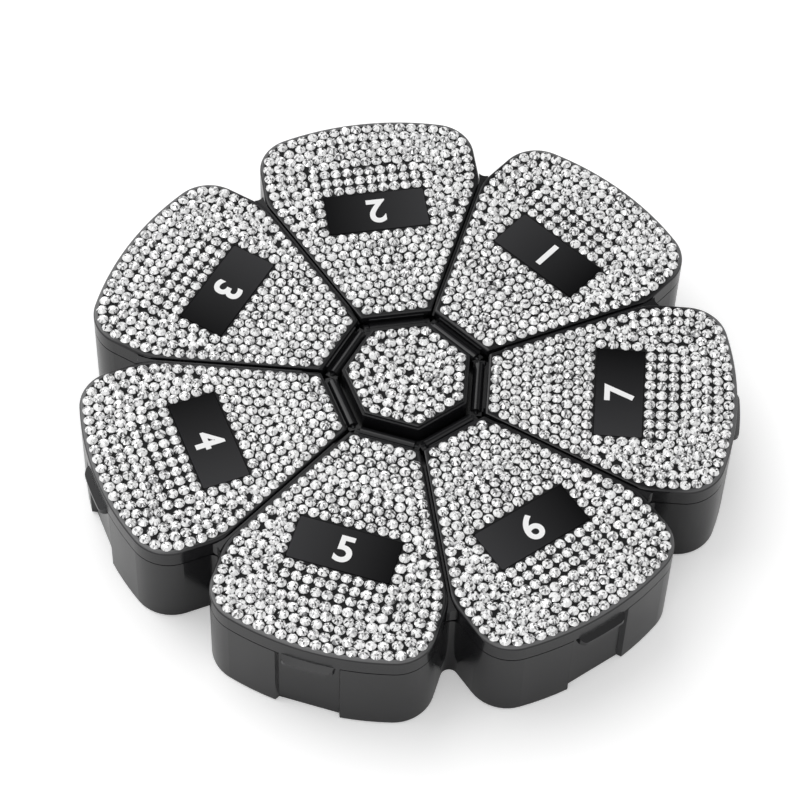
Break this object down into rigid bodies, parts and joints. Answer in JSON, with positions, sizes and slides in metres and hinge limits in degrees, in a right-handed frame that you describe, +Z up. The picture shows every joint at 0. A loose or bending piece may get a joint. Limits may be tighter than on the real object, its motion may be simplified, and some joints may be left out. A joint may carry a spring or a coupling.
{
  "type": "weekly pill organizer",
  "caption": "Petal-shaped weekly pill case: lidded cups round a hub, each lid hinged at the centre with a finger tab, a sparkling stone top and a number plate.",
  "frame": {"origin": "centre of the flat underside, on the hub's axis", "axes": "+Z up, out of the underside towards the lids; +X along the middle of petal 7, with petal 1 the next one counter-clockwise seen from above"},
  "size_m": [0.1353, 0.136, 0.0256],
  "materials": {
    "black_plastic": "smooth moulded black plastic, semi-gloss",
    "crystal_sheet": "dark sheet set all over with small clear flat-back stones",
    "number_plate": "smooth black plate with a printed white number",
    "steel_pin": "blackened steel wire"
  },
  "bodies": {
    "case": {"base_tray": "black_plastic", "hub_cap": "black_plastic", "hub_crystal_panel": "crystal_sheet", "hinge_pin_1": "steel_pin", "hinge_pin_2": "steel_pin", "hinge_pin_3": "steel_pin", "hinge_pin_4": "steel_pin", "hinge_pin_5": "steel_pin", "hinge_pin_6": "steel_pin", "hinge_pin_7": "steel_pin"},
    "lid_1": {"lid_1": "black_plastic", "crystal_panel_1": "crystal_sheet", "number_plate_1": "number_plate"},
    "lid_2": {"lid_2": "black_plastic", "crystal_panel_2": "crystal_sheet", "number_plate_2": "number_plate"},
    "lid_3": {"lid_3": "black_plastic", "crystal_panel_3": "crystal_sheet", "number_plate_3": "number_plate"},
    "lid_4": {"lid_4": "black_plastic", "crystal_panel_4": "crystal_sheet", "number_plate_4": "number_plate"},
    "lid_5": {"lid_5": "black_plastic", "crystal_panel_5": "crystal_sheet", "number_plate_5": "number_plate"},
    "lid_6": {"lid_6": "black_plastic", "crystal_panel_6": "crystal_sheet", "number_plate_6": "number_plate"},
    "lid_7": {"lid_7": "black_plastic", "crystal_panel_7": "crystal_sheet", "number_plate_7": "number_plate"}
  },
  "joints": [
    {"name": "lid_1_hinge", "type": "hinge", "parent": "case", "child": "lid_1", "pos_m": [0.00898, 0.01126, 0.0219], "axis": [0.7818, -0.6235, 0], "range_deg": [0, 75]},
    {"name": "lid_2_hinge", "type": "hinge", "parent": "case", "child": "lid_2", "pos_m": [-0.0032, 0.01404, 0.0219], "axis": [-0.9749, -0.2225, 0], "range_deg": [-75, 0]},
    {"name": "lid_3_hinge", "type": "hinge", "parent": "case", "child": "lid_3", "pos_m": [-0.01297, 0.00625, 0.0219], "axis": [0.4339, 0.901, 0], "range_deg": [0, 75]},
    {"name": "lid_4_hinge", "type": "hinge", "parent": "case", "child": "lid_4", "pos_m": [-0.01297, -0.00625, 0.0219], "axis": [0.4339, -0.901, 0], "range_deg": [-75, 0]},
    {"name": "lid_5_hinge", "type": "hinge", "parent": "case", "child": "lid_5", "pos_m": [-0.0032, -0.01404, 0.0219], "axis": [-0.9749, 0.2225, 0], "range_deg": [0, 75]},
    {"name": "lid_6_hinge", "type": "hinge", "parent": "case", "child": "lid_6", "pos_m": [0.00898, -0.01126, 0.0219], "axis": [0.7818, 0.6235, 0], "range_deg": [-75, 0]},
    {"name": "lid_7_hinge", "type": "hinge", "parent": "case", "child": "lid_7", "pos_m": [0.0144, 0, 0.0219], "axis": [0, -1, 0], "range_deg": [0, 28]}
  ]
}
